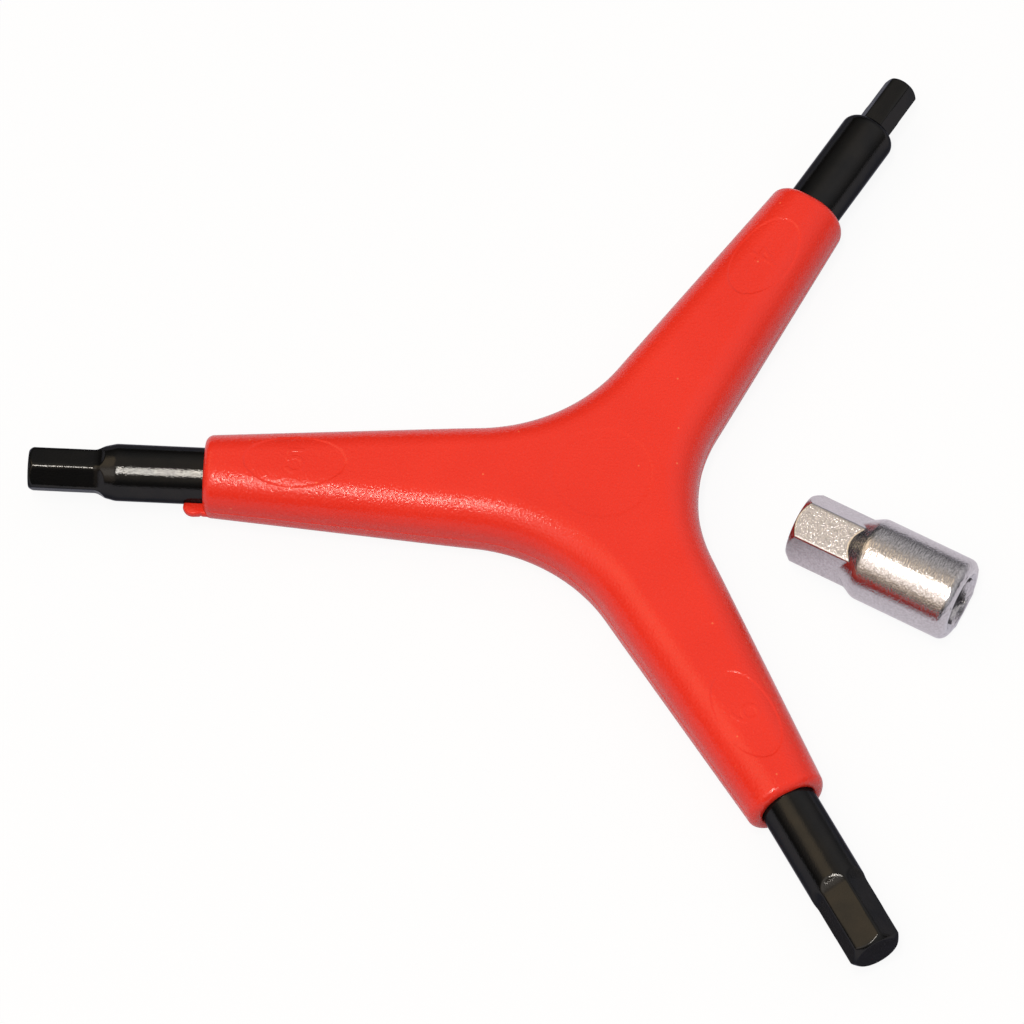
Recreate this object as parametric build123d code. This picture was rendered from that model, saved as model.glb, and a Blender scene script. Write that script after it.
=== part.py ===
from build123d import *
import os
from math import cos, radians, sin

# Y wrench: three steel hex keys moulded into one handle, and a loose hex adapter.
# Millimetres. The origin is the middle of the hub on the face that the handle rests on,
# +Z is up, +Y runs out along the 4 mm arm.

# Directions of the three arms, in degrees about +Z from +X
arm_angle_4mm = 90.0
arm_angle_5mm = 210.0
arm_angle_6mm = 330.0
arm_angles = (arm_angle_4mm, arm_angle_5mm, arm_angle_6mm)

# Handle, the hub
hub_thickness = 10.3
hub_flat_reach = 18.0
shoulder_radius = 4.25
notch_radius = 21.5
mould_draft_angle = 4.0

# Handle, the arms
arm_length = 48.4
arm_width_at_centre = 17.1
arm_width_at_end = 9.94
arm_thickness_at_end = 9.18
arm_end_edge_radius = 1.0

# Handle, the shallow pads on its upper side
pad_length = 12.5
pad_width = 7.0
pad_distance = 37.3
pad_depth = 0.2
hub_disc_diameter = 12.0

# Handle, the gate nub beside the 5 mm key
nub_projection = 2.5
nub_width = 1.6
nub_thickness = 1.0
nub_tip_radius = 1.3
nub_root_length = 1.2
nub_step = 0.1  # from the parting plane down to its flat top

# Keys, the common bar
bar_diameter = 7.0
key_inner_end = 10.0
mouth_gap = 0.1  # between the arm's end face and the round part of the bar
tip_chamfer_share = 0.12  # of the size across flats

# Keys, the moulded-in end: a hexagon against turning, a waist in it against pulling out
anchor_across_flats = 6.0
waist_across_flats = 5.0
waist_distance = 28.0
waist_length = 4.0

# 4 mm key; length shares are of the bar that stands out of the arm
reach_4mm = 70.45
hex_4mm_across_flats = 4.0
hex_4mm_roll = -1.0
hex_4mm_length_share = 0.333
hex_4mm_shoulder_radius = 1.4

# 5 mm key
reach_5mm = 69.85
hex_5mm_across_flats = 5.0
hex_5mm_roll = 10.0
hex_5mm_length_share = 0.496
hex_5mm_neck_length = 2.2

# 6 mm key
reach_6mm = 70.45
hex_6mm_across_flats = 6.0
hex_6mm_roll = 22.5
hex_6mm_length_share = 0.383
hex_6mm_cutter_radius = 3.0

# Adapter
adapter_across_flats = 8.0
adapter_hex_roll = 17.0
adapter_neck_start = 7.2
adapter_neck_length = 2.3
adapter_length = 22.05
barrel_diameter = 10.5
barrel_end_radius = 1.1
adapter_corner_trim = 0.7
adapter_trim_length = 0.8
socket_clearance = 0.1
socket_depth = 9.0
socket_roll = 0.0
socket_lead_in = 0.25
drill_point_depth = 1.5

# Where the adapter lies beside the wrench
adapter_centre_x = 33.75
adapter_centre_y = 10.15
adapter_yaw = 3.75

# One overrun for every cut and overlap
overrun = 1.0

half_hub = hub_thickness / 2
parting_height = half_hub


def arm_half_width(distance):
    return (arm_width_at_centre + (arm_width_at_end - arm_width_at_centre) * distance / arm_length) / 2


def arm_plane(angle):
    """Plane at the hub's middle whose normal runs out along an arm and whose Y is up."""
    direction = radians(angle)
    return Plane(
        origin=(0, 0, parting_height),
        x_dir=(-sin(direction), cos(direction), 0),
        z_dir=(cos(direction), sin(direction), 0),
    )


# Handle

def arm_top_slope_tool(inset):
    """Cutter above an arm along +X that lets its top fall from the hub's height to its end's."""
    hub_half_height = half_hub - inset
    end_half_height = arm_thickness_at_end / 2 - inset
    fall_per_length = (hub_half_height - end_half_height) / (arm_length - hub_flat_reach)
    far = 2 * arm_length
    profile = Polygon(
        (hub_flat_reach, hub_half_height),
        (far, hub_half_height - fall_per_length * (far - hub_flat_reach)),
        (far, hub_half_height + overrun),
        (hub_flat_reach, hub_half_height + overrun),
        align=None,
    )
    return extrude(Plane.XZ * profile, arm_width_at_centre, both=True)


def upper_half(inset):
    """Upper mould half about z = 0: drafted sides, falling arm tops, round shoulders, open ends."""
    arm_overrun_end = arm_length + shoulder_radius + overrun
    plan = Sketch()
    for angle in arm_angles:
        arm = Polygon(
            (0, arm_half_width(0) - inset),
            (0, inset - arm_half_width(0)),
            (arm_overrun_end, inset - arm_half_width(arm_overrun_end)),
            (arm_overrun_end, arm_half_width(arm_overrun_end) - inset),
            align=None,
        )
        plan += Rot(0, 0, angle) * arm
    notches = plan.vertices().sort_by_distance((0, 0, 0))[:len(arm_angles)]
    plan = fillet(notches, notch_radius + inset)
    half = extrude(plan, half_hub - inset, taper=mould_draft_angle)
    for angle in arm_angles:
        half -= Rot(0, 0, angle) * arm_top_slope_tool(inset)
    tops = half.faces().filter_by(lambda f: f.normal_at().Z > cos(radians(mould_draft_angle)))
    borders = tops.edges()
    shoulders = [e for e in borders if borders.count(e) == 1 and e.center().length < arm_length]
    return fillet(shoulders, shoulder_radius - inset)


def moulded_form(inset):
    """The whole moulding without its pads, with every face but its ends moved in by the inset."""
    upper = upper_half(inset)
    ends = RegularPolygon(arm_length, 3, major_radius=False)
    ends = Rot(0, 0, arm_angle_6mm - 60) * ends
    form = (upper + mirror(upper, Plane.XY)) & extrude(ends, half_hub, both=True)
    return Pos(0, 0, parting_height) * form


def ellipse_tool(length, width, distance, angle):
    """Upright oval cutter in the upper half, centred on an arm at a distance from the hub."""
    oval = Pos(distance, 0, parting_height) * Ellipse(length / 2, width / 2)
    return Rot(0, 0, angle) * extrude(oval, half_hub)


def gate_nub():
    """Remains of the moulding gate: a half-round tongue beside the shank of the 5 mm key."""
    inner_side = bar_diameter / 2
    tongue = Polygon(
        (arm_length - nub_root_length, inner_side),
        (arm_length + nub_projection, inner_side),
        (arm_length + nub_projection, inner_side + nub_width),
        (arm_length - nub_root_length, inner_side + nub_width),
        align=None,
    )
    tip = tongue.vertices().sort_by(Axis.X)[-2:].sort_by(Axis.Y)[-1]
    tongue = fillet(tip, nub_tip_radius)
    nub = extrude(tongue, -nub_thickness)
    return Pos(0, 0, parting_height - nub_step) * Rot(0, 0, arm_angle_5mm) * nub


def make_handle(keys):
    form = moulded_form(0)
    end_edges = []
    for angle in arm_angles:
        plane = arm_plane(angle)
        end_face = form.faces().sort_by(Axis(plane.origin, plane.z_dir))[-1]
        end_edges += end_face.edges()
    handle = fillet(end_edges, arm_end_edge_radius)
    recesses = ellipse_tool(hub_disc_diameter, hub_disc_diameter, 0, 0)
    for angle in arm_angles:
        recesses += ellipse_tool(pad_length, pad_width, pad_distance, angle)
    handle -= recesses - moulded_form(pad_depth)
    handle += gate_nub()
    for key in keys:
        handle -= key
    return handle


# Keys, each built along +Z from the hub's middle, with its section's Y up

def key_bar(shank_end):
    """Round bar that stands out of the arm, and its hexagonal moulded-in end with a waist."""
    mouth = arm_length + mouth_gap
    bar = Pos(0, 0, mouth) * Cylinder(
        bar_diameter / 2, shank_end - mouth, align=(Align.CENTER, Align.CENTER, Align.MIN)
    )
    anchor = RegularPolygon(anchor_across_flats / 2, 6, major_radius=False)
    anchor = Pos(0, 0, key_inner_end) * extrude(anchor, mouth - key_inner_end)
    waist = RegularPolygon(waist_across_flats / 2, 6, major_radius=False)
    waist = Rectangle(2 * bar_diameter, 2 * bar_diameter) - waist
    waist = Pos(0, 0, waist_distance - waist_length / 2) * extrude(waist, waist_length)
    return bar + (anchor - waist)


def chamfered_bar(radius, chamfer_size, start, reach):
    """Turned bar from start to reach whose end edge is chamfered."""
    profile = Polygon(
        (0, start),
        (radius, start),
        (radius, reach - chamfer_size),
        (radius - chamfer_size, reach),
        (0, reach),
        align=None,
    )
    return revolve(Plane.XZ * profile, Axis.Z)


def hex_tip(across_flats, roll, start, reach):
    """Hexagonal tip from start to reach, with a turned chamfer at its end."""
    corner_radius = across_flats / 2 / cos(radians(30))
    tip = RegularPolygon(across_flats / 2, 6, major_radius=False, rotation=roll)
    tip = Pos(0, 0, start) * extrude(tip, reach - start)
    return tip & chamfered_bar(corner_radius, across_flats * tip_chamfer_share, start, reach)


def make_key_4mm():
    """The bar ends in a rounded shoulder and the hexagon stands out of it."""
    shank_end = reach_4mm - hex_4mm_length_share * (reach_4mm - arm_length)
    bar = key_bar(shank_end)
    shoulder = bar.edges().group_by(Axis.Z)[-1]
    bar = fillet(shoulder, hex_4mm_shoulder_radius)
    tip_start = shank_end - hex_4mm_shoulder_radius
    return bar + hex_tip(hex_4mm_across_flats, hex_4mm_roll, tip_start, reach_4mm)


def make_key_5mm():
    """The bar necks down in a cone that runs out on the flats of the hexagon."""
    shank_end = reach_5mm - hex_5mm_length_share * (reach_5mm - arm_length)
    bar = key_bar(shank_end)
    neck = Pos(0, 0, shank_end) * Cone(
        bar_diameter / 2,
        hex_5mm_across_flats / 2,
        hex_5mm_neck_length,
        align=(Align.CENTER, Align.CENTER, Align.MIN),
    )
    tip_start = shank_end - overrun
    return bar + neck + hex_tip(hex_5mm_across_flats, hex_5mm_roll, tip_start, reach_5mm)


def make_key_6mm():
    """Six flats milled into the bar, each running out in the curve of the cutter."""
    bar = key_bar(reach_6mm)
    half_flats = hex_6mm_across_flats / 2
    flat_length = hex_6mm_length_share * (reach_6mm - arm_length)
    flat_start = reach_6mm - flat_length
    cutter = Pos(half_flats + hex_6mm_cutter_radius, flat_start) * Circle(hex_6mm_cutter_radius)
    cutter += Pos(half_flats, flat_start) * Rectangle(
        2 * hex_6mm_cutter_radius, flat_length + overrun, align=(Align.MIN, Align.MIN)
    )
    cutter = extrude(Plane.XZ * cutter, bar_diameter, both=True)
    for side in range(6):
        bar -= Rot(0, 0, hex_6mm_roll + 30 + 60 * side) * cutter
    chamfer_size = hex_6mm_across_flats * tip_chamfer_share
    return bar & chamfered_bar(bar_diameter / 2, chamfer_size, key_inner_end, reach_6mm)


# Adapter, built along +Z from its hexagonal end to its barrel's end

def make_adapter():
    half_flats = adapter_across_flats / 2
    corner_radius = half_flats / cos(radians(30))
    neck_end = adapter_neck_start + adapter_neck_length
    male = RegularPolygon(half_flats, 6, major_radius=False, rotation=adapter_hex_roll)
    male = extrude(male, neck_end)
    trim = Polygon(
        (0, 0),
        (corner_radius - adapter_corner_trim, 0),
        (corner_radius, adapter_trim_length),
        (corner_radius, neck_end),
        (0, neck_end),
        align=None,
    )
    male = male & revolve(Plane.XZ * trim, Axis.Z)
    turned = Polygon(
        (0, adapter_neck_start),
        (half_flats, adapter_neck_start),
        (barrel_diameter / 2, neck_end),
        (barrel_diameter / 2, adapter_length),
        (0, adapter_length),
        align=None,
    )
    rim = turned.vertices().sort_by(Axis.Y)[-2:].sort_by(Axis.X)[-1]
    turned = fillet(rim, barrel_end_radius)
    adapter = male + revolve(Plane.XZ * turned, Axis.Z)

    half_socket = (hex_6mm_across_flats + socket_clearance) / 2
    socket = RegularPolygon(half_socket, 6, major_radius=False, rotation=socket_roll)
    socket = Pos(0, 0, adapter_length - socket_depth) * extrude(socket, socket_depth + overrun)
    drill_point = Pos(0, 0, adapter_length - socket_depth - drill_point_depth) * Cone(
        0, half_socket, drill_point_depth, align=(Align.CENTER, Align.CENTER, Align.MIN)
    )
    lead_in_radius = half_socket / cos(radians(30)) + socket_lead_in
    lead_in = Pos(0, 0, adapter_length - socket_lead_in) * Cone(
        lead_in_radius - socket_lead_in,
        lead_in_radius + overrun,
        socket_lead_in + overrun,
        align=(Align.CENTER, Align.CENTER, Align.MIN),
    )
    return adapter - socket - drill_point - lead_in


def placed_adapter():
    """The adapter on the table beside the wrench, lying on its barrel."""
    yaw = radians(adapter_yaw)
    middle = Vector(adapter_centre_x, adapter_centre_y, barrel_diameter / 2)
    start = middle - Vector(cos(yaw), sin(yaw), 0) * adapter_length / 2
    lying = Plane(origin=start, x_dir=(-sin(yaw), cos(yaw), 0), z_dir=(cos(yaw), sin(yaw), 0))
    return lying * make_adapter()


keys = {
    "hex_key_4mm": arm_plane(arm_angle_4mm) * make_key_4mm(),
    "hex_key_5mm": arm_plane(arm_angle_5mm) * make_key_5mm(),
    "hex_key_6mm": arm_plane(arm_angle_6mm) * make_key_6mm(),
}
nodes = {"handle": make_handle(keys.values())}
nodes.update(keys)
nodes["adapter_8mm"] = placed_adapter()

os.makedirs("parts", exist_ok=True)
for name, shape in nodes.items():
    export_step(shape, f"parts/{name}.step")
    print(name, round(shape.volume, 1), "mm3")
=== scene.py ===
import math

import bmesh
import bpy
import numpy as np
from mathutils import Matrix, Vector


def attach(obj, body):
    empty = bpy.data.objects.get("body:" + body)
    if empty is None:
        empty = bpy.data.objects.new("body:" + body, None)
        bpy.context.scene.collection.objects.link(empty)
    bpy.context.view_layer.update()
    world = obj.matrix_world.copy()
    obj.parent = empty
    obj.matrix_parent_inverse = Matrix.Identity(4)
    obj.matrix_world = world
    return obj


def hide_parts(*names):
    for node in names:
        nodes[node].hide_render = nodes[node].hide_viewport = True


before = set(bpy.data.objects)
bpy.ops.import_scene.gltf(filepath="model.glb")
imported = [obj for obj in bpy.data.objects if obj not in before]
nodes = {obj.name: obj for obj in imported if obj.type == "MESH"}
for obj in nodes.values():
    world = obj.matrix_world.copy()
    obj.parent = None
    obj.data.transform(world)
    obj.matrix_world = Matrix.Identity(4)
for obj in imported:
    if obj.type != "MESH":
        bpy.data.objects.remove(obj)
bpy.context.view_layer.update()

MM = 0.001

# Shapes are written in millimetres, with the names and values of the part's source where it
# has them, and turned into metres when their mesh is made. Arm coordinates: X out along the
# arm from the hub's middle, Z up from the parting plane.

PARTING_HEIGHT = 5.15
ARM_ANGLES = {"4": 90.0, "5": 210.0, "6": 330.0}  # degrees from +X
ARM_LENGTH = 48.4
BAR_RADIUS = 3.5
CORNER_COSINE = math.cos(math.radians(30))  # a hexagon's half width over its corner's distance


# Numbers

def smooth_step(t):
    t = np.clip(t, 0.0, 1.0)
    return t * t * (3.0 - 2.0 * t)


def soft_min(a, b, blend):
    """The smaller of two values, rounded where they are within the blend of each other."""
    h = np.clip(0.5 + 0.5 * (b - a) / blend, 0.0, 1.0)
    return b + (a - b) * h - blend * h * (1.0 - h)


def soft_max(a, b, blend):
    return -soft_min(-a, -b, blend)


def quarter_round(t):
    """How far a quarter circle of radius 1 has fallen from 0 at t = 0 to 1 at t = 1."""
    return 1.0 - np.sqrt(1.0 - t * t)


def steps(*runs):
    """Stations along a line: runs of (start, end, step), each without its last value."""
    parts = []
    for start, end, step in runs:
        count = max(1, round(abs(end - start) / step))
        parts.append(np.linspace(start, end, count + 1)[:-1])
    parts.append(np.array([runs[-1][1]]))
    return np.concatenate(parts)


def arc_points(centre, radius, start, end, count=14):
    turns = np.radians(np.linspace(start, end, count))
    return [(centre[0] + radius * math.cos(t), centre[1] + radius * math.sin(t)) for t in turns]


# Meshes

PIECE_MERGE, PIECE_SLIVER = 0.0005 * MM, 0.0002 * MM


def grid_faces(rows, columns, closed):
    """Quads between the rows of a grid of points, around each row if it is closed."""
    row = np.arange(rows - 1)[:, None] * columns
    column = np.arange(columns if closed else columns - 1)[None, :]
    following = (column + 1) % columns
    corners = (row + column, row + following, row + columns + following, row + columns + column)
    return np.stack(corners, axis=-1).reshape(-1, 4)


def make_object(name, points, faces, merge, sliver):
    """Smooth object from points in metres, with its double points and slivers taken out."""
    mesh = bpy.data.meshes.new(name)
    mesh.from_pydata(points, [], faces.tolist())
    bm = bmesh.new()
    bm.from_mesh(mesh)
    bmesh.ops.remove_doubles(bm, verts=bm.verts, dist=merge)
    bmesh.ops.dissolve_degenerate(bm, edges=bm.edges, dist=sliver)
    bmesh.ops.recalc_face_normals(bm, faces=bm.faces)
    bm.to_mesh(mesh)
    bm.free()
    mesh.polygons.foreach_set("use_smooth", [True] * len(mesh.polygons))
    obj = bpy.data.objects.new(name, mesh)
    bpy.context.scene.collection.objects.link(obj)
    return obj


def make_piece(name, points, faces, material, body, node=None):
    """Piece from points in millimetres, riding on a body and standing for a CAD node if named."""
    obj = make_object(name, (points * MM).tolist(), faces, PIECE_MERGE, PIECE_SLIVER)
    obj.data.materials.append(material)
    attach(obj, body)
    if node:
        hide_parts(node)


def arm_to_row(x, y, z, angle):
    """Points in the part's frame from coordinates on the arm at an angle."""
    turn = math.radians(angle)
    return np.stack(
        (
            x * math.cos(turn) - y * math.sin(turn),
            x * math.sin(turn) + y * math.cos(turn),
            z + PARTING_HEIGHT,
        ),
        axis=-1,
    )


# Materials

def new_material(name):
    mat = bpy.data.materials.new(name)
    mat.use_nodes = True
    mat.node_tree.nodes.clear()
    return mat, mat.node_tree.nodes, mat.node_tree.links


def add(nodes_, kind, **inputs):
    """Node with constants on the inputs named, or properties where it has no such input."""
    node = nodes_.new(kind)
    for key, value in inputs.items():
        name = key.replace("_", " ")
        if name in node.inputs:
            node.inputs[name].default_value = value
        else:
            setattr(node, key, value)
    return node


def add_ramp(nodes_, links, value, *stops):
    """Colour ramp over a value, its stops written as (position, colour)."""
    ramp = nodes_.new("ShaderNodeValToRGB")
    elements = ramp.color_ramp.elements
    while len(elements) < len(stops):
        elements.new(0.5)
    for element, (position, colour) in zip(elements, stops):
        element.position = position
        element.color = (*colour, 1)
    links.new(value, ramp.inputs["Fac"])
    return ramp.outputs["Color"]


def add_noise(nodes_, links, place, scale, detail):
    noise = add(nodes_, "ShaderNodeTexNoise", Scale=scale, Detail=detail)
    links.new(place, noise.inputs["Vector"])
    return noise.outputs["Fac"]


def add_bump(nodes_, links, height, depth):
    """Bump whose depth is in metres."""
    bump = add(nodes_, "ShaderNodeBump", Strength=1.0, Distance=depth)
    links.new(height, bump.inputs["Height"])
    return bump


def new_surface(name, **inputs):
    """Material with one Principled shader; also gives its nodes, links, shader and place."""
    mat, n, link = new_material(name)
    bsdf = add(n, "ShaderNodeBsdfPrincipled", **inputs)
    out = add(n, "ShaderNodeOutputMaterial")
    link.new(bsdf.outputs["BSDF"], out.inputs["Surface"])
    return mat, n, link, bsdf, add(n, "ShaderNodeTexCoord").outputs["Object"]


def handle_plastic():
    """Glossy moulded plastic with a fine spark-eroded grain and a few specks."""
    mat, n, link, bsdf, place = new_surface("handle_plastic", IOR=1.42)
    tone = add_noise(n, link, place, 90.0, 3.0)
    red = add_ramp(n, link, tone, (0.3, (0.84, 0.033, 0.0165)), (0.7, (0.88, 0.038, 0.0195)))
    cells = add(n, "ShaderNodeTexVoronoi", Scale=330.0)
    link.new(place, cells.inputs["Vector"])
    speck = add_ramp(n, link, cells.outputs["Distance"], (0.030, (1, 1, 1)), (0.050, (0, 0, 0)))
    mixed = add(n, "ShaderNodeMix", data_type="RGBA")
    link.new(speck, mixed.inputs["Factor"])
    link.new(red, mixed.inputs["A"])
    mixed.inputs["B"].default_value = (0.95, 0.16, 0.07, 1)
    link.new(mixed.outputs["Result"], bsdf.inputs["Base Color"])
    grain = add_noise(n, link, place, 3300.0, 2.0)
    gloss = add_ramp(n, link, grain, (0.40, (0.06, 0.06, 0.06)), (0.60, (0.28, 0.28, 0.28)))
    link.new(gloss, bsdf.inputs["Roughness"])
    bump = add_bump(n, link, grain, 0.00006)
    link.new(bump.outputs["Normal"], bsdf.inputs["Normal"])
    return mat


def black_steel():
    """Black oxide over a fine turned and milled surface."""
    mat, n, link, bsdf, place = new_surface(
        "black_steel", Roughness=0.09, Metallic=0.85, IOR=1.38,
        Specular_Tint=(0.30, 0.32, 0.36, 1),
    )
    tone = add_noise(n, link, place, 400.0, 4.0)
    black = add_ramp(n, link, tone, (0.3, (0.026, 0.027, 0.028)), (0.7, (0.033, 0.0325, 0.0315)))
    link.new(black, bsdf.inputs["Base Color"])
    bump = add_bump(n, link, add_noise(n, link, place, 5000.0, 1.0), 0.000014)
    link.new(bump.outputs["Normal"], bsdf.inputs["Normal"])
    return mat


NICKEL_TURNED_FROM, NICKEL_TURNED_TO = 0.0300, 0.0325  # along the adapter, in metres


def nickel_steel(yaw):
    """Nickel plate over steel: a sandy grain, and fine turned rings where its barrel is."""
    mat, n, link, bsdf, place = new_surface("nickel_steel", Roughness=0.18, Metallic=1.0)
    tone = add_noise(n, link, place, 3600.0, 3.0)
    grey = add_ramp(n, link, tone, (0.35, (0.50, 0.49, 0.51)), (0.65, (0.64, 0.63, 0.65)))
    link.new(grey, bsdf.inputs["Base Color"])

    along = add(n, "ShaderNodeVectorRotate", rotation_type="Z_AXIS", Angle=-yaw)
    link.new(place, along.inputs["Vector"])
    stretch = add(n, "ShaderNodeVectorMath", operation="MULTIPLY")
    stretch.inputs[1].default_value = (5600.0, 1500.0, 1500.0)
    link.new(along.outputs["Vector"], stretch.inputs[0])
    rings = add_noise(n, link, stretch.outputs["Vector"], 1.0, 2.0)
    ring_bump = add_bump(n, link, rings, 0.00005)
    axes = add(n, "ShaderNodeSeparateXYZ")
    link.new(along.outputs["Vector"], axes.inputs["Vector"])
    turned = add(
        n, "ShaderNodeMapRange", From_Min=NICKEL_TURNED_FROM, From_Max=NICKEL_TURNED_TO
    )
    link.new(axes.outputs["X"], turned.inputs["Value"])
    link.new(turned.outputs["Result"], ring_bump.inputs["Strength"])

    bump = add_bump(n, link, add_noise(n, link, place, 4800.0, 1.0), 0.000022)
    link.new(ring_bump.outputs["Normal"], bump.inputs["Normal"])
    link.new(bump.outputs["Normal"], bsdf.inputs["Normal"])
    return mat


ADAPTER_YAW = 3.75
plastic = handle_plastic()
black = black_steel()
nickel = nickel_steel(math.radians(ADAPTER_YAW))
for name, finish in (
    ("handle", plastic),
    ("hex_key_4mm", black),
    ("hex_key_5mm", black),
    ("hex_key_6mm", black),
    ("adapter_8mm", nickel),
):
    nodes[name].data.materials.clear()
    nodes[name].data.materials.append(finish)


# Handle: one skin whose lines run in from the outline, up the drafted side, round the
# shoulder and over the top to the arm's centre line

HALF_END = 4.59
HUB_FLAT_REACH = 18.0
WIDTH_AT_CENTRE = 17.1
WIDTH_AT_END = 9.94
SHOULDER = 4.25
NOTCH = 21.5
DRAFT = math.radians(4.0)
END_EDGE = 1.0
TAPER = (WIDTH_AT_CENTRE - WIDTH_AT_END) / 2 / ARM_LENGTH
TAPER_ANGLE = math.atan(TAPER)
SIDE_NORMAL = np.array((-math.sin(TAPER_ANGLE), -math.cos(TAPER_ANGLE)))
NOTCH_TURN = math.radians(60)  # from the arm to the middle of the notch beside it
NOTCH_TO_HUB = math.radians(-120.0)  # from the notch's centre back to the hub's middle

# Relief on the upper side, and the flash round the parting line
PAD_LENGTH, PAD_WIDTH, PAD_DISTANCE, PAD_DEPTH = 12.5, 7.0, 37.3, 0.09
PAD_WALL = 0.22
DISC_RADIUS, DISC_DEPTH, DISC_WALL = 6.2, 0.05, 0.3
FLASH_PROUD, FLASH_HEIGHT = 0.035, 0.11
DIGIT_PROUD, DIGIT_STROKE, DIGIT_EDGE = 0.05, 0.24, 0.16
DIGITS = {
    "4": [[(0.35, -1.5), (0.35, 1.5), (-0.95, -0.5), (1.0, -0.5)]],
    "5": [[(0.8, 1.5), (-0.65, 1.5), (-0.8, 0.2)] + arc_points((0.0, -0.5), 1.0, 130, -145)],
    "6": [
        arc_points((0.0, -0.55), 0.95, 180, -180, 22),
        [(-0.95, -0.55), (-0.88, 0.2), (-0.55, 0.85), (0.0, 1.3), (0.55, 1.5)],
    ],
}

# How the skin's lines are spaced
END_EDGE_ROWS, NOTCH_ROWS = 11, 64
ROW_STEP, PAD_ROW_STEP = 0.3, 0.11
PAD_ROWS_END, PAD_ROWS_START = 44.2, 30.4
LEAN_START, LEAN_LENGTH = 42.0, 18.0  # from square to the arm to square to its side
WALL_SHARES = (0.0, 0.025, 0.05, 0.08, 0.12, 0.35, 0.65, 1.0)
UPPER_COUNTS, LOWER_COUNTS = (58, 38), (26, 14)  # over the shoulder, over the top

# The mouth that the bar stands out of: (share of the lip, distance from the hub)
LIP_WIDTH, LIP_SHARE_OF_RIM = 0.16, 0.6
MOUTH = ((0.0, 46.9), (0.0, 48.2), (0.3, 48.34), (1.0, 48.4))


def stroke_distance(x, y, lines):
    """Distance from each point to the nearest of some broken lines, at most 9."""
    best = np.full(x.shape, 9.0)
    for line in lines:
        for (ax, ay), (bx, by) in zip(line[:-1], line[1:]):
            dx, dy = bx - ax, by - ay
            t = np.clip(((x - ax) * dx + (y - ay) * dy) / (dx * dx + dy * dy), 0.0, 1.0)
            best = np.minimum(best, np.hypot(x - ax - t * dx, y - ay - t * dy))
    return best


def relief(x, y, digit):
    """How far the upper side stands out at a point: pad and hub disc in, digit out."""
    pad_x, pad_y = (x - PAD_DISTANCE) / (PAD_LENGTH / 2), y / (PAD_WIDTH / 2)
    reach = np.maximum(np.hypot(pad_x, pad_y), 0.05)
    slope = np.hypot(pad_x / (PAD_LENGTH / 2), pad_y / (PAD_WIDTH / 2)) / reach
    inside = (1.0 - reach) / np.maximum(slope, 0.05)
    out = -PAD_DEPTH * smooth_step(0.5 + inside / PAD_WALL)
    to_stroke = stroke_distance(PAD_DISTANCE - x, -y, DIGITS[digit])
    out += DIGIT_PROUD * smooth_step(0.5 + (DIGIT_STROKE - to_stroke) / DIGIT_EDGE)
    disc = smooth_step(0.5 + (DISC_RADIUS - np.hypot(x, y)) / DISC_WALL)
    return out - DISC_DEPTH * disc


def outline_stations():
    """Rows of half an arm, from its end to the middle of the notch beside it.

    Gives each row's start on the outline, its finish on the arm's centre line, the outline's
    normal there, and how far the rounded edge of the arm's end sets the row in.
    """
    turns = np.radians(np.linspace(90.0, 0.0, END_EDGE_ROWS))
    side_end = ARM_LENGTH - END_EDGE
    end_x = side_end + END_EDGE * np.sin(turns)
    notch_x = 0.5 * WIDTH_AT_CENTRE * math.cos(TAPER_ANGLE)
    centre_distance = (NOTCH + notch_x) / (
        (TAPER * math.cos(NOTCH_TURN) + math.sin(NOTCH_TURN)) * math.cos(TAPER_ANGLE)
    )
    centre = centre_distance * np.array((math.cos(NOTCH_TURN), math.sin(NOTCH_TURN)))
    tangent = centre + NOTCH * SIDE_NORMAL
    side_x = steps(
        (side_end, PAD_ROWS_END, ROW_STEP),
        (PAD_ROWS_END, PAD_ROWS_START, PAD_ROW_STEP),
        (PAD_ROWS_START, tangent[0], ROW_STEP),
    )[1:-1]
    x = np.concatenate((end_x, side_x))
    inset = np.concatenate((END_EDGE * (1.0 - np.cos(turns)), np.zeros(len(side_x))))
    half_width = WIDTH_AT_CENTRE / 2 - TAPER * x
    lean = smooth_step((LEAN_START - x) / LEAN_LENGTH)
    axis_x = x - lean * half_width * TAPER
    start = np.stack((x, half_width), axis=-1)
    finish = np.stack((axis_x, np.zeros(len(x))), axis=-1)
    normal = np.repeat(SIDE_NORMAL[None, :], len(x), axis=0)

    around = np.linspace(math.atan2(*SIDE_NORMAL[::-1]), NOTCH_TO_HUB, NOTCH_ROWS)
    ray = np.stack((np.cos(around), np.sin(around)), axis=-1)
    arc = centre + NOTCH * ray
    arc_finish = arc - ray * (arc[:, 1] / ray[:, 1])[:, None]
    arc_finish[-1] = (0.0, 0.0)
    start = np.concatenate((start, arc))
    finish = np.concatenate((finish, arc_finish))
    normal = np.concatenate((normal, ray))
    inset = np.concatenate((inset, np.zeros(len(arc))))
    return start, finish, normal, inset


def between(low, high, shares):
    """Columns from a low to a high value of every row, at some shares of the way."""
    return low[:, None] * (1 - shares) + high[:, None] * shares


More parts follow.
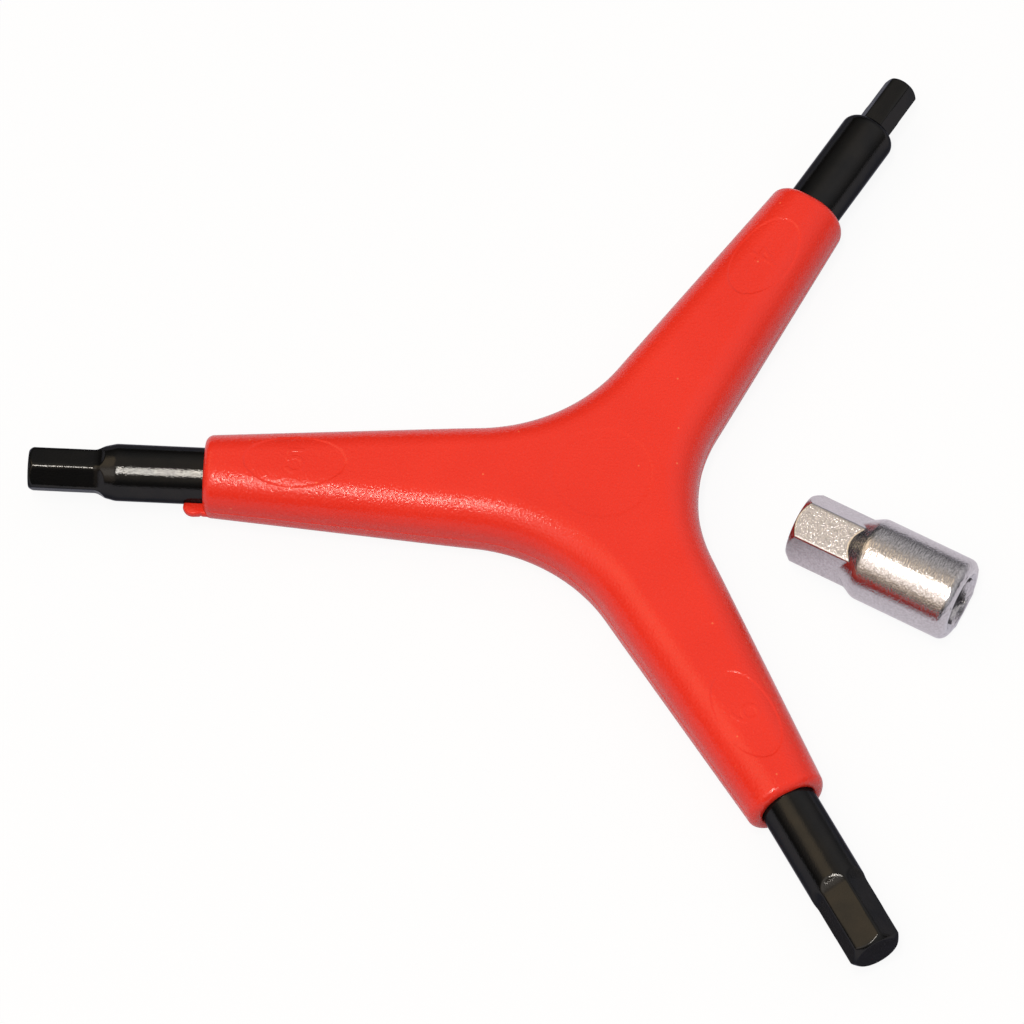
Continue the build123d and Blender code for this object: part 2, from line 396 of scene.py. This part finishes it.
def half_arm(digit, side, up, counts):
    """Grid of half an arm's upper or lower side in arm coordinates, with the end's lip."""
    start, finish, normal, inset = outline_stations()
    run = finish - start
    length = np.linalg.norm(run, axis=1)
    run /= length[:, None]
    lean = np.sum(run * normal, axis=1)
    depth_to_axis = length * lean

    fall = np.clip((finish[:, 0] - HUB_FLAT_REACH) / (ARM_LENGTH - HUB_FLAT_REACH), 0.0, 1.0)
    top = PARTING_HEIGHT - fall * (PARTING_HEIGHT - HALF_END)
    centre_z = top - SHOULDER
    centre_d = (SHOULDER + centre_z * math.sin(DRAFT)) / math.cos(DRAFT)
    radius = SHOULDER - inset

    # The section of each row, as depth in from the outline and height: wall, shoulder, top
    wall = np.array(WALL_SHARES)[None, :]
    low_d, low_z = inset / math.cos(DRAFT), 0.0 * inset
    high_d, high_z = centre_d - radius * math.cos(DRAFT), centre_z + radius * math.sin(DRAFT)
    tilt = np.linspace(DRAFT, math.pi / 2, counts[0] + 1)[None, 1:]
    arc_d = centre_d[:, None] - radius[:, None] * np.cos(tilt)
    arc_z = centre_z[:, None] + radius[:, None] * np.sin(tilt)
    flat = np.linspace(0.0, 1.0, counts[1] + 1)[None, 1:]
    flat_d = between(centre_d, depth_to_axis, flat)
    flat_z = np.repeat((top - inset)[:, None], counts[1], axis=1)
    d = np.concatenate((between(low_d, high_d, wall), arc_d, flat_d), axis=1)
    z = np.concatenate((between(low_z, high_z, wall), arc_z, flat_z), axis=1)
    tilts = np.concatenate((0.0 * wall[0] + DRAFT, tilt[0], 0.0 * flat[0] + math.pi / 2))

    reach = d / lean[:, None]
    x = start[:, 0:1] + run[:, 0:1] * reach
    y = start[:, 1:2] + run[:, 1:2] * reach
    y[:, -1] = finish[:, 1]
    out = FLASH_PROUD * smooth_step(1.0 - z / FLASH_HEIGHT)
    if up:
        out = out + relief(x, side * y, digit)
    out = out * (inset == 0.0)[:, None]
    x = x - normal[:, 0:1] * np.cos(tilts)[None, :] * out
    y = y - normal[:, 1:2] * np.cos(tilts)[None, :] * out
    z = z + np.sin(tilts)[None, :] * out

    # The arm's end face, from the bar's mouth out to the first row
    around = np.arctan2(z[0], y[0])
    rim = np.hypot(y[0], z[0])
    lip = np.minimum(LIP_WIDTH, LIP_SHARE_OF_RIM * (rim - BAR_RADIUS))
    mouth_r = np.stack([BAR_RADIUS + share * lip for share, _ in MOUTH])
    mouth_x = np.stack([np.full(len(around), distance) for _, distance in MOUTH])
    x = np.concatenate((mouth_x, x))
    y = np.concatenate((mouth_r * np.cos(around), y))
    z = np.concatenate((mouth_r * np.sin(around), z))
    return x, side * y, (z if up else -z)


def make_handle():
    points, faces, count = [], [], 0
    for digit, angle in ARM_ANGLES.items():
        for side in (1, -1):
            for up, counts in ((True, UPPER_COUNTS), (False, LOWER_COUNTS)):
                x, y, z = half_arm(digit, side, up, counts)
                rows, columns = x.shape
                points.append(arm_to_row(x, y, z, angle).reshape(-1, 3))
                faces.append(grid_faces(rows, columns, closed=False) + count)
                count += rows * columns
    make_piece(
        "handle_moulding", np.concatenate(points), np.concatenate(faces), plastic,
        "wrench", "handle",
    )


make_handle()


# Gate nub: an outline with a notch in its outer edge, seen from above, and its shrunk copies at
# the heights of its soft edges, each written as (height, share of the outline)

NUB_OUTLINE = np.array(
    [(46.9, 3.2), (50.75, 3.2)]
    + arc_points((49.55, 3.65), 1.28, 10, 88, 9)
    + [(48.75, 4.87), (48.62, 4.73), (48.3, 4.85), (46.9, 4.85)]
)
NUB_MIDDLE = np.array((48.4, 4.0))
NUB_LEVELS = (
    (-1.6, 0.02), (-1.6, 0.80), (-1.6, 0.93), (-1.52, 0.985), (-1.4, 1.0), (-1.1, 1.0),
    (-0.93, 0.98), (-0.81, 0.93), (-0.75, 0.84), (-0.75, 0.5), (-0.77, 0.02),
)


def make_nub():
    """Torn-off moulding gate beside the shank of the 5 mm key."""
    xy = np.stack([NUB_MIDDLE + (NUB_OUTLINE - NUB_MIDDLE) * share for _, share in NUB_LEVELS])
    heights = np.array([height for height, _ in NUB_LEVELS])
    z = np.repeat(heights[:, None], len(NUB_OUTLINE), axis=1)
    points = arm_to_row(xy[..., 0], xy[..., 1], z, ARM_ANGLES["5"])
    make_piece(
        "gate_nub", points.reshape(-1, 3),
        grid_faces(len(NUB_LEVELS), len(NUB_OUTLINE), closed=True),
        plastic, "wrench",
    )


make_nub()


# Keys and adapter: turned and milled bars, as a radius for every place along the bar and
# every direction around it

AROUND = np.linspace(0.0, 2.0 * math.pi, 217)[:-1]
END_SHARES = np.array((0.97, 0.9, 0.6, 0.3, 0.001))  # rings of a flat end face


def hexagon(half_flats, roll, sharpness):
    """Radius of a hexagon with a corner at the roll, its corners softened."""
    flats = np.radians(roll + 30.0 + 60.0 * np.arange(6))
    near = np.maximum(np.cos(AROUND[:, None] - flats[None, :]), 0.0)
    return half_flats / np.sum(near ** sharpness, axis=1) ** (1.0 / sharpness)


def bar_directions(angle):
    """Axis of a level bar, and the direction that is its section's X; the section's Y is up."""
    turn = math.radians(angle)
    axis = np.array((math.cos(turn), math.sin(turn), 0.0))
    return axis, np.array((-math.sin(turn), math.cos(turn), 0.0))


def bar_points(stations, radii, origin, axis, across):
    up = np.cross(axis, across)
    ring = np.cos(AROUND)[None, :, None] * across + np.sin(AROUND)[None, :, None] * up
    points = origin + stations[:, None, None] * axis + radii[:, :, None] * ring
    return points.reshape(-1, 3)


def close_end(stations, radii, first):
    """Rows that close a bar's end with a flat face."""
    place = stations[0] if first else stations[-1]
    ring = radii[0] if first else radii[-1]
    extra = ring[None, :] * END_SHARES[:, None]
    where = np.full(len(END_SHARES), place)
    if first:
        return np.concatenate((where, stations)), np.concatenate((extra[::-1], radii))
    return np.concatenate((stations, where)), np.concatenate((radii, extra))


KEY_START = 40.0  # inside the handle
TIP_CHAMFER_SHARE = 0.12
TIP_CHAMFER_CLEARANCE = 0.02
TIP_EDGE, TIP_EDGE_CUT, TIP_EDGE_SHARE, TIP_BLEND = 0.22, 0.25, 0.98, 0.22
TIP_CHAMFER_FROM, NO_LIMIT = 66.0, 9.0


def make_key(digit, stations, radii, half_flats, reach):
    """Key from its bar's radii, with a chamfer and two softened edges cut at the tip."""
    corner = half_flats / CORNER_COSINE
    chamfer = 2 * half_flats * TIP_CHAMFER_SHARE
    limit = corner + TIP_CHAMFER_CLEARANCE - np.maximum(stations - (reach - chamfer), 0.0)
    last = np.clip((stations - (reach - TIP_EDGE)) / TIP_EDGE, 0.0, 1.0)
    limit = limit - TIP_EDGE_CUT * TIP_EDGE * (1.0 - np.sqrt(1.0 - TIP_EDGE_SHARE * last * last))
    limit = limit + NO_LIMIT * (stations < TIP_CHAMFER_FROM)
    radii = soft_min(radii, limit[:, None], TIP_BLEND)

    stations, radii = close_end(stations, radii, True)
    stations, radii = close_end(stations, radii, False)
    axis, across = bar_directions(ARM_ANGLES[digit])
    origin = np.array((0.0, 0.0, PARTING_HEIGHT))
    make_piece(
        f"key_{digit}mm", bar_points(stations, radii, origin, axis, across),
        grid_faces(len(stations), len(AROUND), True),
        black, "wrench", f"hex_key_{digit}mm",
    )


def key_4mm():
    """Hexagon that the bar meets in a quarter round shoulder."""
    half_flats, reach, shoulder, length_share = 2.0, 70.45, 1.4, 0.333
    steep = 3.0  # takes the bar below the hexagon past the shoulder
    s = steps((KEY_START, 61.5, 1.2), (61.5, 63.6, 0.06), (63.6, 69.4, 0.5), (69.4, reach, 0.05))
    shoulder_start = reach - length_share * (reach - ARM_LENGTH) - shoulder
    into = np.clip((s - shoulder_start) / shoulder, 0.0, 1.0)
    bar = BAR_RADIUS - shoulder * quarter_round(into)
    bar = bar - steep * np.maximum(s - shoulder_start - shoulder, 0.0)
    hexes = hexagon(half_flats, roll=-1.0, sharpness=70)
    make_key("4", s, soft_max(bar[:, None], hexes[None, :], 0.25), half_flats, reach)


def key_5mm():
    """Bar that narrows in a cone to a neck, with flats that run out in the cone."""
    half_flats, reach = 2.5, 69.85
    cone_start, cone_length = 59.2, 2.64
    flats_start, cutter = 61.9, 1.5
    s = steps((KEY_START, 58.6, 1.2), (58.6, 62.2, 0.07), (62.2, 68.7, 0.5), (68.7, reach, 0.05))
    neck = half_flats / CORNER_COSINE - 0.03
    cone = BAR_RADIUS - (BAR_RADIUS - neck) * (s - cone_start) / cone_length
    bar = soft_max(soft_min(cone, BAR_RADIUS, 0.06), neck, 0.05)
    runout = half_flats + np.maximum(flats_start - s, 0.0) ** 2 / (2 * cutter)
    hexes = hexagon(1.0, roll=9.0, sharpness=22)
    radii = soft_min(bar[:, None], runout[:, None] * hexes[None, :], 0.06)
    make_key("5", s, radii, half_flats, reach)


def key_6mm():
    """Flats milled into the bar, each running out in the curve of the cutter."""
    half_flats, reach, cutter, length_share = 3.0, 70.45, 3.0, 0.383
    flat_start = reach - length_share * (reach - ARM_LENGTH)
    s = steps((KEY_START, 58.8, 1.2), (58.8, 62.4, 0.06), (62.4, 69.2, 0.5), (69.2, reach, 0.05))
    before = np.clip(flat_start - s, 0.0, 0.9 * cutter)
    runout = half_flats + cutter - np.sqrt(cutter ** 2 - before ** 2)
    hexes = hexagon(1.0, roll=22.5, sharpness=36)
    radii = soft_min(BAR_RADIUS, runout[:, None] * hexes[None, :], 0.14)
    make_key("6", s, radii, half_flats, reach)


key_4mm()
key_5mm()
key_6mm()


# Adapter: stations run from its hexagon's end to its barrel's end and on into the socket

ADAPTER_LENGTH = 22.05
ADAPTER_MIDDLE = (33.75, 10.15)
ADAPTER_HALF_FLATS = 4.0
CORNER_TRIM, TRIM_LENGTH = 0.7, 0.8
NECK_START, NECK_LENGTH = 7.2, 2.3
BARREL_RADIUS, BARREL_END_RADIUS = 5.25, 1.1
HALF_SOCKET, SOCKET_CORNER, SOCKET_END = 3.05, 3.522, 13.05
LEAD_IN_START = 21.8
DRILL_POINT = ((13.05, 2.95), (12.9, 2.6), (11.7, 0.4), (11.55, 0.004))  # (station, radius)


def make_adapter():
    s = steps((0.0, 1.2, 0.05), (1.2, 6.9, 0.4), (6.9, 9.9, 0.06), (9.9, 20.7, 0.5),
              (20.7, ADAPTER_LENGTH, 0.05))
    hexes = hexagon(ADAPTER_HALF_FLATS, roll=17.0, sharpness=80)
    trim = ADAPTER_HALF_FLATS / CORNER_COSINE - CORNER_TRIM + CORNER_TRIM * s / TRIM_LENGTH
    male = soft_min(trim[:, None], hexes[None, :], 0.12)
    widening = BARREL_RADIUS - ADAPTER_HALF_FLATS
    barrel = ADAPTER_HALF_FLATS + widening * (s - NECK_START) / NECK_LENGTH
    barrel = soft_min(barrel, BARREL_RADIUS, 0.25)
    round_start = ADAPTER_LENGTH - BARREL_END_RADIUS
    into = np.clip((s - round_start) / BARREL_END_RADIUS, 0.0, 1.0)
    barrel = barrel - BARREL_END_RADIUS * quarter_round(into)
    outer = soft_max(male, barrel[:, None], 0.08)

    depth = steps((ADAPTER_LENGTH, 21.5, 0.04), (21.5, SOCKET_END, 0.6))
    lead_in = SOCKET_CORNER + (depth - LEAD_IN_START)
    socket = hexagon(HALF_SOCKET, roll=0.0, sharpness=80)
    inner = soft_max(socket[None, :], lead_in[:, None], 0.06)
    face_middle = 0.5 * (outer[-1] + inner[0])
    point_s, point_r = np.array(DRILL_POINT).T
    point_r = np.repeat(point_r[:, None], len(AROUND), axis=1)
    stations = np.concatenate((s, [ADAPTER_LENGTH], depth, point_s))
    radii = np.concatenate((outer, face_middle[None, :], inner, point_r))
    stations, radii = close_end(stations, radii, True)

    axis, across = bar_directions(ADAPTER_YAW)
    origin = np.array((*ADAPTER_MIDDLE, BARREL_RADIUS)) - axis * ADAPTER_LENGTH / 2
    make_piece(
        "adapter", bar_points(stations, radii, origin, axis, across),
        grid_faces(len(stations), len(AROUND), True),
        nickel, "adapter", "adapter_8mm",
    )


make_adapter()


# Floor: a wide shallow dish whose rim closes the level views. Metres.

FLOOR_RADII = (0.0, 1.0, 3.0, 4.4)
FLOOR_RIM_RADIUS = 0.6
FLOOR_SIDES = 96
FLOOR_MERGE = 0.0001
FLOOR_TO_CAMERA, CAMERA_GLOW = (0.94, 0.96, 1.0, 1), 0.91
FLOOR_IN_MIRRORS, MIRROR_GLOW = (0.72, 0.72, 0.88, 1), 0.26
FLOOR_BOUNCE = (0.40, 0.38, 0.52, 1)


def floor_white():
    """White to the camera, greyer in mirrors, and darker for the light that it sends up."""
    mat, n, link = new_material("floor_white")
    path = add(n, "ShaderNodeLightPath")
    mirrored = add(n, "ShaderNodeMath", operation="MAXIMUM")
    link.new(path.outputs["Is Glossy Ray"], mirrored.inputs[0])
    link.new(path.outputs["Is Transmission Ray"], mirrored.inputs[1])
    seen_by = {"camera": path.outputs["Is Camera Ray"], "mirrors": mirrored.outputs[0]}

    unseen = add(n, "ShaderNodeMix", data_type="RGBA")
    link.new(seen_by["mirrors"], unseen.inputs["Factor"])
    unseen.inputs["A"].default_value = FLOOR_BOUNCE
    unseen.inputs["B"].default_value = FLOOR_IN_MIRRORS
    colour = add(n, "ShaderNodeMix", data_type="RGBA")
    link.new(seen_by["camera"], colour.inputs["Factor"])
    link.new(unseen.outputs["Result"], colour.inputs["A"])
    colour.inputs["B"].default_value = FLOOR_TO_CAMERA
    white = add(n, "ShaderNodeBsdfDiffuse")
    link.new(colour.outputs["Result"], white.inputs["Color"])

    share = add(n, "ShaderNodeMath", operation="ADD")
    for place, (kind, amount) in enumerate((("camera", CAMERA_GLOW), ("mirrors", MIRROR_GLOW))):
        part = add(n, "ShaderNodeMath", operation="MULTIPLY")
        link.new(seen_by[kind], part.inputs[0])
        part.inputs[1].default_value = amount
        link.new(part.outputs[0], share.inputs[place])
    glow = add(n, "ShaderNodeEmission", Strength=1.0)
    mix = add(n, "ShaderNodeMixShader")
    link.new(share.outputs[0], mix.inputs["Fac"])
    link.new(white.outputs["BSDF"], mix.inputs[1])
    link.new(glow.outputs["Emission"], mix.inputs[2])
    out = add(n, "ShaderNodeOutputMaterial")
    link.new(mix.outputs["Shader"], out.inputs["Surface"])
    return mat


def studio_floor():
    profile = [(r, 0.0) for r in FLOOR_RADII]
    for turn in np.radians(np.linspace(0.0, 80.0, 13)):
        r = FLOOR_RADII[-1] + FLOOR_RIM_RADIUS * math.sin(turn)
        profile.append((r, FLOOR_RIM_RADIUS * (1.0 - math.cos(turn))))
    turns = np.linspace(0.0, 2.0 * math.pi, FLOOR_SIDES + 1)[:-1]
    points = [(r * math.cos(t), r * math.sin(t), z) for r, z in profile for t in turns]
    faces = grid_faces(len(profile), FLOOR_SIDES, closed=True)
    floor = make_object("studio_floor", points, faces, FLOOR_MERGE, FLOOR_MERGE)
    floor.data.materials.append(floor_white())


studio_floor()


# Light

# Directions are written for a frame whose X runs to the right of the photograph.
PHOTO_TURN = Matrix.Rotation(math.radians(30.0), 3, "Z")

# Soft round patches of the sky: direction, cosines at the edge and the core, colour
GLOWS = (
    ((-0.56, 0.28, 0.78), 0.90, 0.98, (1.05, 0.78, 0.46)),  # in the 6 mm key's top flat
    ((-0.55, -0.50, 0.67), 0.78, 0.95, (0.62, 0.48, 0.36)),  # warm fill from the lower left
    ((-0.18, 0.16, 0.97), 0.82, 0.97, (0.26, 0.21, 0.16)),  # in the adapter's top flat
    ((-0.47, -0.47, 0.75), 0.94, 0.99, (0.90, 0.85, 0.80)),  # along the adapter's barrel
    ((0.58, -0.62, 0.53), 0.80, 0.95, (0.42, 0.41, 0.42)),  # cool fill from the lower right
    ((0.66, 0.50, 0.56), 0.66, 0.95, (0.42, 0.40, 0.41)),  # cool fill from the upper right
)


def area_light(name, direction, distance, width, height, radiance, color):
    """A rectangle facing the hub, its width along the photograph's X."""
    light = bpy.data.lights.new(name, "AREA")
    light.shape = "RECTANGLE"
    light.size = width
    light.size_y = height
    light.energy = radiance * math.pi * width * height
    light.color = color
    obj = bpy.data.objects.new(name, light)
    z = (PHOTO_TURN @ Vector(direction)).normalized()
    y = z.cross(PHOTO_TURN @ Vector((1, 0, 0))).normalized()
    x = y.cross(z)
    obj.matrix_world = Matrix.Translation(z * distance) @ Matrix((x, y, z)).transposed().to_4x4()
    bpy.context.scene.collection.objects.link(obj)


def studio_world():
    """Dark towards the horizon, lighter overhead, with the glows added."""
    world = bpy.data.worlds.new("studio")
    bpy.context.scene.world = world
    world.use_nodes = True
    n, link = world.node_tree.nodes, world.node_tree.links
    n.clear()
    place = add(n, "ShaderNodeTexCoord").outputs["Generated"]
    axes = add(n, "ShaderNodeSeparateXYZ")
    link.new(place, axes.inputs["Vector"])
    sky = add_ramp(
        n, link, axes.outputs["Z"], (0.28, (0.02, 0.02, 0.025)), (0.75, (0.28, 0.27, 0.255))
    )
    for direction, edge, core, colour in GLOWS:
        along = add(n, "ShaderNodeVectorMath", operation="DOT_PRODUCT")
        along.inputs[1].default_value = (PHOTO_TURN @ Vector(direction)).normalized()
        link.new(place, along.inputs[0])
        patch = add_ramp(n, link, along.outputs["Value"], (edge, (0, 0, 0)), (core, colour))
        both = add(n, "ShaderNodeMix", data_type="RGBA", blend_type="ADD")
        both.inputs["Factor"].default_value = 1.0
        link.new(sky, both.inputs["A"])
        link.new(patch, both.inputs["B"])
        sky = both.outputs["Result"]
    back = add(n, "ShaderNodeBackground", Strength=1.0)
    link.new(sky, back.inputs["Color"])
    out = add(n, "ShaderNodeOutputWorld")
    link.new(back.outputs["Background"], out.inputs["Surface"])


area_light(
    "key_light", direction=(-0.10, -0.37, 0.925), distance=1.5, width=0.14, height=0.70,
    radiance=32.4, color=(1.0, 0.93, 0.84),
)
studio_world()


# Camera, fitted to the photograph's outlines

CAMERA_PLACE = (255.386 * MM, -424.742 * MM, 844.291 * MM)
CAMERA_TURN = (30.4239, -0.3065, 32.7905)
FOCAL_PIXELS = 8000.0
IMAGE_PIXELS = 1024.0

camera_data = bpy.data.cameras.new("camera")
camera_data.sensor_width = 36.0
camera_data.lens = camera_data.sensor_width * FOCAL_PIXELS / IMAGE_PIXELS
camera = bpy.data.objects.new("camera", camera_data)
camera.location = CAMERA_PLACE
camera.rotation_euler = [math.radians(a) for a in CAMERA_TURN]
bpy.context.scene.collection.objects.link(camera)
bpy.context.scene.camera = camera

bpy.context.scene.view_settings.view_transform = "Standard"
